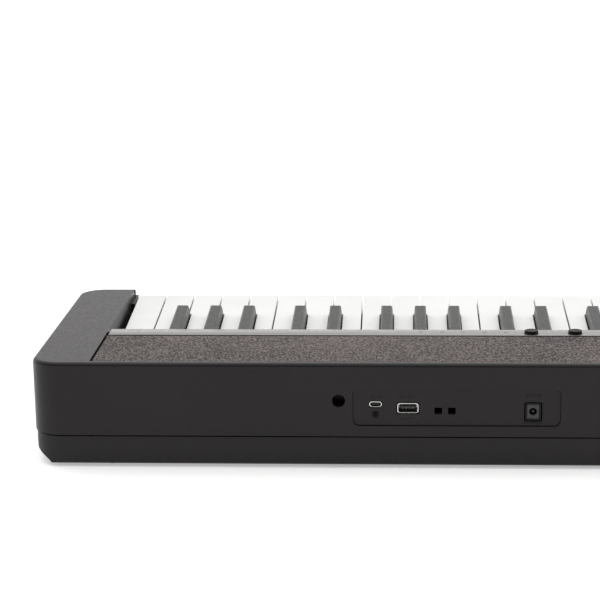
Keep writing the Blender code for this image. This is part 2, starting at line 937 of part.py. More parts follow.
def make_main_board():
    """Under the terminals, clear of the battery bay and the speakers."""
    low_z = recess_low_z - main_board_below_recess
    low_x = bay_low_x + bay_width + board_margin
    high_x = speaker_x - speaker_radius - board_margin
    front = frame_rear + frame_rail + main_board_gap
    rear = wall_inside - plate_thickness - main_board_gap / 2
    return box("main_board", (low_x, front, low_z), (high_x, rear, low_z + board_thickness))


# Keys

note_names = "cdefgab"
sharp_offsets = {"c": -0.100, "d": 0.100, "f": -0.143, "g": 0.0, "a": 0.143}


def seam_x(index):
    """The line between two white keys, counted from the bass end."""
    return -keybed_half + index * white_pitch


def sharp_x(index):
    """The middle of the black key that follows a white key, or None after E, B and the last C."""
    note = note_names[index % 7]
    if note not in sharp_offsets or index < 0 or index >= white_count - 1:
        return None
    return seam_x(index + 1) + sharp_offsets[note] * white_pitch


def white_side():
    lip_bottom = white_top - white_lip_depth
    lip_back = key_front + white_lip_return
    tail_top = hinge_z + white_tail_rise
    return [
        (key_front, lip_bottom, 0), (lip_back, lip_bottom, 0), (lip_back, white_bottom, 0),
        (tail_end, white_bottom, 0), (tail_end, tail_top, 0),
        (strip_front + 2 * white_tail_run, tail_top, 0), (strip_front + white_tail_run, white_top, 0),
        (key_front, white_top, white_edge_radius),
    ]


def black_side():
    top = white_top + black_rise
    low = white_bottom + black_below_white
    tail_low = low + black_tail_lift
    tail_top = hinge_z + black_tail_rise
    tail_start = strip_front - strip_gap
    lift_start = hinge_y - hollow_from_hinge
    return [
        (black_front, low, 0), (lift_start, low, 0), (lift_start + black_tail_lift, tail_low, 0),
        (tail_end, tail_low, 0), (tail_end, tail_top, 0), (tail_start, tail_top, 0), (tail_start, top, 0),
        (black_front + black_brow_run, top, black_nose_radius),
        (black_front + black_nose_run, top - black_nose_drop, black_nose_radius),
        (black_front, white_top, black_top_radius),
    ]


def make_white_key(name, index):
    low = seam_x(index) + white_gap / 2
    high = seam_x(index + 1) - white_gap / 2
    margin = black_base_width / 2 + black_gap
    sharp_below = sharp_x(index - 1)
    sharp_above = sharp_x(index)
    tail_low = low if sharp_below is None else sharp_below + margin
    tail_high = high if sharp_above is None else sharp_above - margin
    outline = [(low, key_front), (high, key_front)]
    if sharp_above is not None:
        outline += [(high, notch_front), (tail_high, notch_front)]
    outline += [(tail_high, tail_end), (tail_low, tail_end)]
    if sharp_below is not None:
        outline += [(tail_low, notch_front), (low, notch_front)]
    key = prism(name, outline, beyond)
    centre = ((low + high) / 2, 0, 0)
    keep_inside(key, prism("side", rounded(white_side(), 2), white_pitch * 2, facing_side, centre))
    cut(key, box(
        "hollow", (tail_low + key_wall, key_front + white_lip_thickness, -clear),
        (tail_high - key_wall, hinge_y - hollow_from_hinge, white_top - white_top_wall),
    ))
    return tidy_faces(key)


def make_black_key(name, index):
    centre = sharp_x(index)
    top = white_top + black_rise
    half_base = black_base_width / 2
    half_top = black_top_width / 2
    section = [
        (centre - half_base, 0, 0), (centre + half_base, 0, 0), (centre + half_base, white_top, 0),
        (centre + half_top, top, black_top_radius), (centre - half_top, top, black_top_radius),
        (centre - half_base, white_top, 0),
    ]
    key = prism(name, rounded(section, 1), beyond, facing_rear)
    keep_inside(key, prism("side", rounded(black_side(), 2), white_pitch, facing_side, (centre, 0, 0)))
    plan = rectangle(centre - half_base, black_front, centre + half_base, tail_end)
    plan[:2] = [(*corner[:2], black_corner_radius) for corner in plan[:2]]
    keep_inside(key, prism("plan", rounded(plan, 3), beyond))
    cut(key, box(
        "hollow", (centre - half_base + key_wall, black_front + black_front_wall, -clear),
        (centre + half_base - key_wall, hinge_y - hollow_from_hinge - key_wall, white_top - key_wall),
    ))
    return tidy_faces(key)


def key_origin(low_x, high_x):
    return ((low_x + high_x) / 2, hinge_y, hinge_z)


def make_single_keys(octave):
    first = (octave - first_octave) * 7
    for step, note in enumerate(note_names):
        index = first + step
        if index >= white_count:
            return
        key = make_white_key(f"white_key_{note}{octave}", index)
        finish(set_origin(key, key_origin(seam_x(index), seam_x(index + 1))), "white_key")
        if sharp_x(index) is not None:
            key = make_black_key(f"black_key_{note}{octave}_sharp", index)
            finish(set_origin(key, key_origin(sharp_x(index), sharp_x(index))), "black_key")


def make_key_combs(octave):
    """The keys of one octave on their common rear rail, the white rail below the black one."""
    first = (octave - first_octave) * 7
    rail_front = hinge_y - comb_rail_depth
    low_x = seam_x(first) + white_gap / 2
    high_x = seam_x(first + 7) - white_gap / 2
    whites = make_white_key(f"white_keys_octave_{octave}", first)
    join(whites, *[make_white_key("white", first + step) for step in range(1, 7)], box(
        "rail", (low_x, rail_front, white_bottom), (high_x, tail_end, white_bottom + comb_rail_depth)
    ))
    finish(set_origin(tidy_faces(whites), key_origin(low_x, high_x)), "white_key")
    sharps = [first + step for step in range(7) if sharp_x(first + step) is not None]
    low_x = sharp_x(sharps[0]) - black_base_width / 2
    high_x = sharp_x(sharps[-1]) + black_base_width / 2
    rail_top = hinge_z + black_tail_rise
    blacks = make_black_key(f"black_keys_octave_{octave}", sharps[0])
    join(blacks, *[make_black_key("black", index) for index in sharps[1:]], box(
        "rail", (low_x, rail_front, rail_top - comb_rail_depth), (high_x, tail_end, rail_top)
    ))
    finish(set_origin(tidy_faces(blacks), key_origin(low_x, high_x)), "black_key")


def make_key_frame():
    """Floor, front guide, contact step and the rear rail that the keys hinge against."""
    floor = frame_bottom + frame_wall
    guide_top = white_top - white_lip_depth - guide_below_lip
    front = key_front + white_lip_return + frame_gap
    rear = frame_rear + frame_rail
    rail_top = hinge_z + rail_above_hinge
    step_front = strip_front - contact_front
    step_rear = strip_front - contact_rear
    corners = [
        (front, frame_bottom, 0), (rear, frame_bottom, 0), (rear, rail_top, 0), (frame_rear, rail_top, 0),
        (frame_rear, floor, 0), (step_rear, floor, 0), (step_rear, contact_level, 0),
        (step_front, contact_level, 0), (step_front, floor, 0), (front + frame_wall, floor, 0),
        (front + frame_wall, guide_top, 0), (front, guide_top, 0),
    ]
    return prism("key_frame", rounded(corners), 2 * (keybed_half - frame_gap), facing_side)


def contact_strip(name, low_z, thickness, margin):
    half = keybed_half - contact_end_gap - margin
    return box(
        name, (-half, strip_front - contact_front + margin, low_z),
        (half, strip_front - contact_rear - margin, low_z + thickness),
    )


def make_contacts():
    board_low = contact_level + fit_gap
    dome_low = board_low + board_thickness + fit_gap
    finish(contact_strip("key_contact_board", board_low, board_thickness, 0), "circuit_board")
    finish(contact_strip("contact_rubber", dome_low, dome_height, dome_margin), "rubber")


# Underside

def make_battery_cover():
    cover = bay_box("battery_cover", cover_lip - fit_gap, base_height, base_height + cover_thickness)
    middle = bay_low_x + bay_width / 2
    notch_rear = bay_rear - bay_depth
    cut(cover, box(
        "thumb_notch", (middle - thumb_notch_width / 2, notch_rear - through, -clear),
        (middle + thumb_notch_width / 2, notch_rear, base_height + thumb_notch_depth),
    ))
    return tidy_faces(cover)


def make_feet():
    names = ("foot_front_left", "foot_rear_left", "foot_front_right", "foot_rear_right")
    profile = [
        (0, foot_height), (foot_radius, foot_height), (foot_radius, foot_chamfer),
        (foot_radius - foot_chamfer, 0), (0, 0),
    ]
    for name, (x, y) in zip(names, foot_places()):
        foot = turned(name, profile)
        foot.data.transform(Matrix.Translation((x, y, 0)))
        finish(foot, "rubber")


# Materials: colour, roughness, metallic

finishes = {
    "case": ((0.035, 0.033, 0.034), 0.55, 0.0),
    "lower_case": ((0.025, 0.024, 0.025), 0.60, 0.0),
    "grille_panel": ((0.020, 0.020, 0.020), 0.70, 0.0),
    "cloth": ((0.115, 0.100, 0.098), 0.90, 0.0),
    "white_key": ((0.880, 0.880, 0.885), 0.30, 0.0),
    "black_key": ((0.045, 0.043, 0.045), 0.45, 0.0),
    "button": ((0.015, 0.015, 0.015), 0.45, 0.0),
    "rubber": ((0.020, 0.020, 0.020), 0.85, 0.0),
    "circuit_board": ((0.020, 0.120, 0.050), 0.50, 0.0),
    "port_metal": ((0.700, 0.700, 0.700), 0.25, 1.0),
    "socket": ((0.018, 0.018, 0.018), 0.50, 0.0),
    "speaker": ((0.060, 0.060, 0.062), 0.60, 0.0),
    "key_frame": ((0.300, 0.300, 0.310), 0.60, 0.0),
}


def finish(shape, finish_name):
    """Names the object's mesh, gives it its own material and moves it into the keyboard."""
    colour, roughness, metallic = finishes[finish_name]
    material = bpy.data.materials.new(f"{shape.name}_{finish_name}")
    material.use_nodes = True
    surface = material.node_tree.nodes["Principled BSDF"]
    surface.inputs["Base Color"].default_value = (*colour, 1)
    surface.inputs["Roughness"].default_value = roughness
    surface.inputs["Metallic"].default_value = metallic
    shape.data.name = shape.name
    shape.data.materials.clear()
    shape.data.materials.append(material)
    shape.data.shade_smooth()
    shape.data.set_sharp_from_angle(angle=math.radians(30))
    workshop.objects.unlink(shape)
    keyboard.objects.link(shape)
    return shape


for existing in list(bpy.data.objects):
    bpy.data.objects.remove(existing)

keyboard = bpy.data.collections.new("portable_keyboard")
workshop = bpy.data.collections.new("workshop")
bpy.context.scene.collection.children.link(keyboard)
bpy.context.scene.collection.children.link(workshop)

finish(make_lower_case(), "lower_case")
finish(make_upper_case(), "case")
finish(make_grille_panel(), "grille_panel")
finish(make_grille_cloth(), "cloth")
finish(make_terminal_plate(), "case")
finish(make_battery_cover(), "lower_case")
make_feet()

for octave in range(first_octave, first_octave + octave_count + 1):
    if octave in comb_octaves:
        make_key_combs(octave)
    else:
        make_single_keys(octave)
finish(make_key_frame(), "key_frame")
make_contacts()

finish(make_push_button("power_button", power_x, power_radius, power_rise), "button")
for number, button_x in enumerate(button_places(), start=1):
    finish(make_push_button(f"push_button_{number}", button_x, button_radius, button_rise), "button")
finish(make_volume_knob(), "button")
finish(make_control_board(), "circuit_board")
finish(make_main_board(), "circuit_board")

finish(make_speaker("speaker_left", -1), "speaker")
finish(make_speaker("speaker_right", 1), "speaker")
finish(
    make_port("small_data_port", small_port_place, small_port_size, small_port_radius, small_tongue_size),
    "port_metal",
)
finish(
    make_port("large_data_port", large_port_place, large_port_size, large_port_radius, large_tongue_size),
    "port_metal",
)
finish(make_port_screw(), "port_metal")
finish(make_power_socket(), "socket")
finish(make_jack("headphone_jack", headphone_jack_place), "socket")
finish(make_jack("pedal_jack", pedal_jack_place), "socket")
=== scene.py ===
import json
import math

import bpy
from mathutils import Matrix, Vector


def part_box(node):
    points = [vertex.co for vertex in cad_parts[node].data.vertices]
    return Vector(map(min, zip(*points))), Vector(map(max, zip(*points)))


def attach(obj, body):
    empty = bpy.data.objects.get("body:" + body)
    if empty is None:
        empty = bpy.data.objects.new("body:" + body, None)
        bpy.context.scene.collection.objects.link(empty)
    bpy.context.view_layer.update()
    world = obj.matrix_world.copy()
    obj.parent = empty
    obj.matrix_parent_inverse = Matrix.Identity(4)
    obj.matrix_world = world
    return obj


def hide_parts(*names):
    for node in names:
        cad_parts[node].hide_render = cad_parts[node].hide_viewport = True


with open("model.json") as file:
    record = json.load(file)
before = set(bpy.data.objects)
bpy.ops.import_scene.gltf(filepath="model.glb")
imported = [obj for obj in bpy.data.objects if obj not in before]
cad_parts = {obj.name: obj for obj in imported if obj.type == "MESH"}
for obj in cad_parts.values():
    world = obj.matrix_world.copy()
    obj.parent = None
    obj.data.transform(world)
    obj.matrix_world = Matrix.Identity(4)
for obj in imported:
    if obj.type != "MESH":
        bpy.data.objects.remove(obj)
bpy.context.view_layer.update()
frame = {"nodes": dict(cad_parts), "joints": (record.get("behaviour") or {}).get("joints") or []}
nodes = frame["nodes"]
joints = {joint["child"]: joint for joint in frame["joints"]}
scene = bpy.context.scene
print("frame loaded:", len(nodes), "nodes")

# the control strip, the grille and the end blocks lie in one plane that falls towards the player
topNormal = -Vector(joints["push_button_1"]["axis"]).normalized()
clothSunk = 0.0002
# the groove round the grille, along its long sides and at its ends
grooveWidth = 0.0011
endGrooveWidth = 0.0019
topPoint = max((corner.co for corner in nodes["grille_cloth"].data.vertices), key=topNormal.dot)
topPoint = topPoint + topNormal * clothSunk
slope = math.atan2(-topNormal.y, topNormal.z)
upSlope = Vector((0, math.cos(slope), math.sin(slope)))


def topFrame(x, y, out=0):
    # turns +Z into the top's normal, at the place on the top above that x and y
    along = (y - topPoint.y) / upSlope.y
    place = Vector((x, topPoint.y, topPoint.z)) + upSlope * along + topNormal * out
    return Matrix.Translation(place) @ Matrix.Rotation(slope, 4, "X")


# camera, floor and light

cameraView = {
    "place": (0.201, 1.4838, 0.5343),
    "yaw": 0.0518,
    "pitch": 0.2923,
    "roll": -0.0134,
    "lens": 121.94,
    "sensor": 36.0,
}


def makeCamera():
    yaw, pitch, roll = cameraView["yaw"], cameraView["pitch"], cameraView["roll"]
    ahead = Vector((math.sin(yaw) * math.cos(pitch), -math.cos(yaw) * math.cos(pitch), -math.sin(pitch)))
    level = ahead.cross(Vector((0, 0, 1))).normalized()
    upright = level.cross(ahead)
    right = math.cos(roll) * level + math.sin(roll) * upright
    up = math.cos(roll) * upright - math.sin(roll) * level
    data = bpy.data.cameras.new("camera")
    data.lens = cameraView["lens"]
    data.sensor_width = cameraView["sensor"]
    data.clip_end = 50
    camera = bpy.data.objects.new("camera", data)
    camera.matrix_world = (
        Matrix.Translation(cameraView["place"]) @ Matrix((right, up, -ahead)).transposed().to_4x4()
    )
    scene.collection.objects.link(camera)
    scene.camera = camera


studio = {
    "floorSize": 40.0,
    "floorColour": (0.80, 0.80, 0.80),
    "floorGlow": 0.40,
    "backWhite": 1.0,
    "behindPlayer": 1.05,
    "behindTerminals": 0.12,
    "overhead": 1.0,
    "overheadSize": 2.6,
    "overheadPower": 20.0,
}


def makeStudio():
    bpy.ops.object.select_all(action="DESELECT")
    bpy.ops.mesh.primitive_plane_add(size=studio["floorSize"])
    floor = bpy.context.object
    floor.name = "floor"
    paint = bpy.data.materials.new("floorPaint")
    paint.use_nodes = True
    surface = paint.node_tree.nodes["Principled BSDF"]
    surface.inputs["Base Color"].default_value = (*studio["floorColour"], 1)
    surface.inputs["Roughness"].default_value = 0.9
    surface.inputs["Specular IOR Level"].default_value = 0.1
    surface.inputs["Emission Color"].default_value = (1, 1, 1, 1)
    surface.inputs["Emission Strength"].default_value = studio["floorGlow"]
    floor.data.materials.append(paint)

    # brighter behind the player and overhead than on the terminals' side; the camera sees plain white
    world = bpy.data.worlds.new("studio")
    scene.world = world
    world.use_nodes = True
    tree = world.node_tree
    tree.nodes.clear()
    output = tree.nodes.new("ShaderNodeOutputWorld")
    mix = tree.nodes.new("ShaderNodeMixShader")
    seen = tree.nodes.new("ShaderNodeBackground")
    lit = tree.nodes.new("ShaderNodeBackground")
    path = tree.nodes.new("ShaderNodeLightPath")
    place = tree.nodes.new("ShaderNodeTexCoord")
    split = tree.nodes.new("ShaderNodeSeparateXYZ")
    side = tree.nodes.new("ShaderNodeMapRange")
    height = tree.nodes.new("ShaderNodeMapRange")
    strength = tree.nodes.new("ShaderNodeMath")
    seen.inputs["Color"].default_value = (1, 1, 1, 1)
    seen.inputs["Strength"].default_value = studio["backWhite"]
    lit.inputs["Color"].default_value = (1, 0.995, 0.985, 1)
    side.inputs["From Min"].default_value = -0.5
    side.inputs["From Max"].default_value = 0.6
    side.inputs["To Min"].default_value = studio["behindPlayer"]
    side.inputs["To Max"].default_value = studio["behindTerminals"]
    height.inputs["From Min"].default_value = 0.3
    height.inputs["From Max"].default_value = 1.0
    height.inputs["To Min"].default_value = 0.0
    height.inputs["To Max"].default_value = studio["overhead"] - studio["behindTerminals"]
    strength.operation = "ADD"
    links = tree.links
    links.new(place.outputs["Generated"], split.inputs[0])
    links.new(split.outputs["Y"], side.inputs["Value"])
    links.new(split.outputs["Z"], height.inputs["Value"])
    links.new(side.outputs[0], strength.inputs[0])
    links.new(height.outputs[0], strength.inputs[1])
    links.new(strength.outputs[0], lit.inputs["Strength"])
    links.new(path.outputs["Is Camera Ray"], mix.inputs[0])
    links.new(lit.outputs[0], mix.inputs[1])
    links.new(seen.outputs[0], mix.inputs[2])
    links.new(mix.outputs[0], output.inputs["Surface"])

    data = bpy.data.lights.new("overhead", "AREA")
    data.shape = "SQUARE"
    data.size = studio["overheadSize"]
    data.energy = studio["overheadPower"]
    lamp = bpy.data.objects.new("overhead", data)
    lamp.location = (0.2, -0.5, 2.2)
    lamp.rotation_euler = (math.radians(-12), 0, 0)
    scene.collection.objects.link(lamp)
    scene.view_settings.view_transform = "Standard"


makeCamera()
makeStudio()
print("camera and studio made")


# materials

def startMaterial(name, colour, roughness, metallic=0.0, specular=0.5):
    material = bpy.data.materials.new(name)
    material.use_nodes = True
    surface = material.node_tree.nodes["Principled BSDF"]
    surface.inputs["Base Color"].default_value = (*colour, 1)
    surface.inputs["Roughness"].default_value = roughness
    surface.inputs["Metallic"].default_value = metallic
    surface.inputs["Specular IOR Level"].default_value = specular
    return material


def addNode(material, kind, **values):
    node = material.node_tree.nodes.new(kind)
    for name, value in values.items():
        if name in node.bl_rna.properties:
            setattr(node, name, value)
        else:
            node.inputs[name].default_value = value
    return node


def connect(material, source, target):
    material.node_tree.links.new(source, target)


def noise(material, scale, detail=2.0, roughness=0.5, distortion=0.0):
    texture = addNode(
        material, "ShaderNodeTexNoise", Scale=scale, Detail=detail, Roughness=roughness, Distortion=distortion
    )
    place = addNode(material, "ShaderNodeTexCoord")
    connect(material, place.outputs["Object"], texture.inputs["Vector"])
    return texture.outputs["Fac"]


def spread(material, value, low, high):
    # a noise's middle half, stretched between two values
    ranged = addNode(material, "ShaderNodeMapRange")
    ranged.inputs["From Min"].default_value = 0.3
    ranged.inputs["From Max"].default_value = 0.7
    ranged.inputs["To Min"].default_value = low
    ranged.inputs["To Max"].default_value = high
    connect(material, value, ranged.inputs["Value"])
    return ranged.outputs[0]


def shade(material, value, low, high):
    # the colour between two colours that a value picks
    ramp = addNode(material, "ShaderNodeValToRGB")
    ramp.color_ramp.elements[0].position = 0.3
    ramp.color_ramp.elements[0].color = (*low, 1)
    ramp.color_ramp.elements[1].position = 0.7
    ramp.color_ramp.elements[1].color = (*high, 1)
    connect(material, value, ramp.inputs[0])
    return ramp.outputs[0]


def setInput(material, name, value):
    connect(material, value, material.node_tree.nodes["Principled BSDF"].inputs[name])


def addBump(material, height, distance, strength=1.0):
    bump = addNode(material, "ShaderNodeBump", Strength=strength, Distance=distance)
    connect(material, height, bump.inputs["Height"])
    setInput(material, "Normal", bump.outputs[0])


def mouldedPlastic(name, look):
    # fine spark-eroded grain, with a slow drift in colour and gloss
    colour = Vector(look["colour"])
    material = startMaterial(name, colour, look["roughness"], 0.0, look["specular"])
    drift = noise(material, 9.0, 3.0)
    setInput(material, "Base Color", shade(material, drift, colour * 0.92, colour * 1.08))
    mottle = noise(material, 420.0, 2.0)
    gloss = look["roughness"]
    setInput(material, "Roughness", spread(material, mottle, gloss - 0.05, gloss + 0.05))
    addBump(material, noise(material, look["grain"], 2.0, 0.6), look["grainHeight"])
    return material


plastics = {
    "casePlastic": {
        "colour": (0.0135, 0.0112, 0.0117), "roughness": 0.37, "specular": 0.20,
        "grain": 1800.0, "grainHeight": 0.00004,
    },
    "lowerCasePlastic": {
        "colour": (0.0150, 0.0130, 0.0135), "roughness": 0.48, "specular": 0.22,
        "grain": 1500.0, "grainHeight": 0.00005,
    },
    "panelPlastic": {
        "colour": (0.012, 0.012, 0.012), "roughness": 0.6, "specular": 0.3,
        "grain": 1500.0, "grainHeight": 0.00005,
    },
    "whiteKeyPlastic": {
        "colour": (0.64, 0.64, 0.632), "roughness": 0.22, "specular": 0.5,
        "grain": 260.0, "grainHeight": 0.000004,
    },
    "blackKeyPlastic": {
        "colour": (0.010, 0.0095, 0.0095), "roughness": 0.36, "specular": 0.30,
        "grain": 2200.0, "grainHeight": 0.00003,
    },
    "stripPlastic": {
        "colour": (0.135, 0.123, 0.121), "roughness": 0.21, "specular": 0.70,
        "grain": 2400.0, "grainHeight": 0.000008,
    },
    "socketFace": {
        "colour": (0.030, 0.029, 0.029), "roughness": 0.45, "specular": 0.45,
        "grain": 2400.0, "grainHeight": 0.00001,
    },
    "buttonPlastic": {
        "colour": (0.006, 0.006, 0.006), "roughness": 0.48, "specular": 0.22,
        "grain": 2200.0, "grainHeight": 0.00002,
    },
    "footRubber": {
        "colour": (0.014, 0.014, 0.014), "roughness": 0.85, "specular": 0.2,
        "grain": 900.0, "grainHeight": 0.00008,
    },
    "framePlastic": {
        "colour": (0.22, 0.22, 0.23), "roughness": 0.55, "specular": 0.4,
        "grain": 1200.0, "grainHeight": 0.00004,
    },
    "socketPlastic": {
        "colour": (0.008, 0.008, 0.008), "roughness": 0.42, "specular": 0.4,
        "grain": 2600.0, "grainHeight": 0.00002,
    },
    "speakerPaper": {
        "colour": (0.03, 0.03, 0.032), "roughness": 0.75, "specular": 0.3,
        "grain": 700.0, "grainHeight": 0.00015,
    },
    "boardLacquer": {
        "colour": (0.006, 0.012, 0.009), "roughness": 0.45, "specular": 0.3,
        "grain": 500.0, "grainHeight": 0.00003,
    },
}
materials = {name: mouldedPlastic(name, look) for name, look in plastics.items()}


def platedMetal(name, colour, roughness):
    # drawn metal with fine lines and faint marks from handling
    material = startMaterial(name, colour, roughness, 1.0)
    place = addNode(material, "ShaderNodeTexCoord")
    stretch = addNode(material, "ShaderNodeMapping")
    stretch.inputs["Scale"].default_value = (60.0, 900.0, 900.0)
    lines = addNode(material, "ShaderNodeTexNoise", Scale=3.0, Detail=3.0)
    connect(material, place.outputs["Object"], stretch.inputs["Vector"])
    connect(material, stretch.outputs[0], lines.inputs["Vector"])
    gloss = spread(material, lines.outputs["Fac"], roughness - 0.06, roughness + 0.08)
    setInput(material, "Roughness", gloss)
    addBump(material, lines.outputs["Fac"], 0.000006)
    return material


def paintPartingShade(material, edge, side):
    # painted shade on the rim beside the parting line: the base colour fades to black and the surface turns
    # metallic there, so it stays dark under any light
    place = addNode(material, "ShaderNodeTexCoord")
    split = addNode(material, "ShaderNodeSeparateXYZ")
    ranged = addNode(material, "ShaderNodeMapRange")
    ranged.inputs["From Min"].default_value = edge
    ranged.inputs["From Max"].default_value = edge + side * 0.0001
    ranged.inputs["To Min"].default_value = 0.0
    ranged.inputs["To Max"].default_value = 1.0
    mix = addNode(material, "ShaderNodeMix", data_type="RGBA", blend_type="MULTIPLY")
    mix.inputs["Factor"].default_value = 1.0
    surface = material.node_tree.nodes["Principled BSDF"]
    source = surface.inputs["Base Color"].links[0].from_socket
    connect(material, place.outputs["Object"], split.inputs[0])
    connect(material, split.outputs["Z"], ranged.inputs["Value"])
    connect(material, source, mix.inputs["A"])
    connect(material, ranged.outputs[0], mix.inputs["B"])
    connect(material, mix.outputs["Result"], surface.inputs["Base Color"])
    shadeMetallic = addNode(material, "ShaderNodeMath", operation="SUBTRACT")
    shadeMetallic.inputs[0].default_value = 1.0
    connect(material, ranged.outputs[0], shadeMetallic.inputs[1])
    connect(material, shadeMetallic.outputs[0], surface.inputs["Metallic"])


parting = {"lowerTop": 0.0236, "upperShade": 0.00025, "lowerShade": 0.0002}
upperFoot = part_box("upper_case")[0][2]
# painted shade along the lower rim of the upper case and the upper rim of the lower case
paintPartingShade(materials["casePlastic"], upperFoot + parting["upperShade"], 1)
paintPartingShade(materials["lowerCasePlastic"], parting["lowerTop"] - parting["lowerShade"], -1)
materials["nickel"] = platedMetal("nickel", (0.78, 0.77, 0.75), 0.22)
materials["blackZinc"] = platedMetal("blackZinc", (0.012, 0.012, 0.013), 0.45)

print("materials made:", len(materials))


# the CAD nodes that stay: softened edges and a finish

finishes = {
    "upper_case": ("casePlastic", 0.0004),
    "lower_case": ("lowerCasePlastic", 0.0004),
    "terminal_plate": ("casePlastic", 0.0002),
    "grille_panel": ("panelPlastic", 0.0003),
    "grille_cloth": ("panelPlastic", 0.0),
    "battery_cover": ("lowerCasePlastic", 0.0003),
    "key_frame": ("framePlastic", 0.0004),
    "key_contact_board": ("boardLacquer", 0.0002),
    "contact_rubber": ("footRubber", 0.0004),
    "control_board": ("boardLacquer", 0.0002),
    "main_board": ("boardLacquer", 0.0002),
    "small_data_port": ("nickel", 0.0001),
    "large_data_port": ("nickel", 0.0001),
    "port_screw": ("blackZinc", 0.0001),
    "power_socket": ("socketFace", 0.0001),
    "headphone_jack": ("socketPlastic", 0.0002),
    "pedal_jack": ("socketPlastic", 0.0002),
    "speaker_left": ("speakerPaper", 0.0003),
    "speaker_right": ("speakerPaper", 0.0003),
    "volume_knob": ("buttonPlastic", 0.0004),
    "power_button": ("buttonPlastic", 0.0004),
}


def finishOf(name):
    if name.startswith("white_key"):
        return "whiteKeyPlastic", 0.0005
    if name.startswith("black_key"):
        return "blackKeyPlastic", 0.0005
    if name.startswith("foot_"):
        return "footRubber", 0.0004
    if name.startswith("push_button"):
        return "buttonPlastic", 0.0004
    return finishes[name]


def softenEdges(node, width):
    weld = node.modifiers.new("weld", "WELD")
    weld.merge_threshold = 0.000002
    flat = node.modifiers.new("flat", "DECIMATE")
    flat.decimate_type = "DISSOLVE"
    flat.angle_limit = math.radians(0.5)
    if width > 0:
        bevel = node.modifiers.new("bevel", "BEVEL")
        bevel.width = width
        bevel.segments = 2
        bevel.limit_method = "ANGLE"
        bevel.angle_limit = math.radians(35)
        bevel.use_clamp_overlap = True
    smooth = node.modifiers.new("smooth", "WEIGHTED_NORMAL")
    smooth.keep_sharp = True


for name, node in nodes.items():
    finish, width = finishOf(name)
    for place in node.material_slots:
        place.material = materials[finish]
    node.data.shade_smooth()
    softenEdges(node, width)
print("CAD nodes finished")


# pieces modelled here

def turnedPiece(name, profile, corners=48):
    # a disc drawn up from ring to ring through a profile of radius and height
    bpy.ops.object.select_all(action="DESELECT")
    radius, height = profile[0]
    bpy.ops.mesh.primitive_circle_add(vertices=corners, radius=radius, fill_type="NGON")
    piece = bpy.context.object
    piece.name = name
    bpy.ops.object.mode_set(mode="EDIT")
    bpy.ops.mesh.select_all(action="SELECT")
    bpy.ops.transform.translate(value=(0, 0, height))
    for nextRadius, nextHeight in profile[1:]:
        bpy.ops.mesh.extrude_region_move(TRANSFORM_OT_translate={"value": (0, 0, nextHeight - height)})
        size = nextRadius / radius
        bpy.ops.transform.resize(value=(size, size, 1), center_override=(0, 0, nextHeight))
        radius, height = nextRadius, nextHeight
    bpy.ops.mesh.select_all(action="SELECT")
    bpy.ops.mesh.remove_doubles(threshold=0.000002)
    bpy.ops.mesh.normals_make_consistent(inside=False)
    bpy.ops.object.mode_set(mode="OBJECT")
    return piece


def blockPiece(name, size, middle, edge=0.0):
    # a block at its size and place, with its edges rounded
    bpy.ops.object.select_all(action="DESELECT")
    bpy.ops.mesh.primitive_cube_add(size=1, location=middle, scale=size)
    piece = bpy.context.object
    piece.name = name
    bpy.ops.object.transform_apply(location=True, rotation=True, scale=True)
    if edge > 0:
        bpy.ops.object.mode_set(mode="EDIT")
        bpy.ops.mesh.select_all(action="SELECT")
        bpy.ops.mesh.bevel(offset=edge, segments=2, affect="EDGES")
        bpy.ops.object.mode_set(mode="OBJECT")
    return piece


def joinPieces(name, pieces):
    # one piece out of several
    bpy.ops.object.select_all(action="DESELECT")
    for piece in pieces:
        piece.select_set(True)
    bpy.context.view_layer.objects.active = pieces[0]
    if len(pieces) > 1:
        bpy.ops.object.join()
    pieces[0].name = name
    return pieces[0]


def pickFaces(piece, rule):
    # leaves the piece in edit mode with only the faces that the rule chooses selected
    bpy.ops.object.select_all(action="DESELECT")
    piece.select_set(True)
    bpy.context.view_layer.objects.active = piece
    bpy.ops.object.mode_set(mode="EDIT")
    bpy.ops.mesh.select_mode(type="FACE")
    bpy.ops.mesh.select_all(action="DESELECT")
    bpy.ops.object.mode_set(mode="OBJECT")
    for face in piece.data.polygons:
        face.select = rule(face)
    bpy.ops.object.mode_set(mode="EDIT")


def settle(piece, place, finish, body, smooth=35):
    # puts a piece in its place with its object at the origin, and says what it belongs to
    bpy.ops.object.select_all(action="DESELECT")
    piece.select_set(True)
    bpy.context.view_layer.objects.active = piece
    piece.matrix_world = place
    bpy.ops.object.transform_apply(location=True, rotation=True, scale=True)
    bpy.ops.object.shade_smooth_by_angle(angle=math.radians(smooth))
    piece.data.materials.clear()
    piece.data.materials.append(materials[finish])
    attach(piece, body)
    return piece


def faceMiddle(name, normal):
    # the middle of a node's outermost face along a direction, and how deep the node is that way
    corners = [corner.co.copy() for corner in nodes[name].data.vertices]
    reach = max(corner.dot(normal) for corner in corners)
    depth = reach - min(corner.dot(normal) for corner in corners)
    face = [corner for corner in corners if corner.dot(normal) > reach - 0.0001]
    low = Vector([min(corner[axis] for corner in face) for axis in range(3)])
    high = Vector([max(corner[axis] for corner in face) for axis in range(3)])
    return (low + high) / 2, depth


def onTop(place):
    # turns +Z into the top's normal, at a place
    return Matrix.Translation(place) @ Matrix.Rotation(slope, 4, "X")


# grille cloth: a heather weave stretched over the panel, its edges folded down into the groove

cloth = {
    "across": 760,
    "along": 72,
    "grain": 0.0011,
    "relief": 0.00022,
    "fold": 0.0011,
    "dark": (0.009, 0.0065, 0.0066),
    "light": (0.170, 0.139, 0.136),
    "yarnScales": (1300.0, 640.0),
    "yarnShares": (0.42, 0.58),
    "yarnStretch": 0.5,
    "darkUpTo": 0.43,
    "lightFrom": 0.60,
    "bump": 0.00035,
}


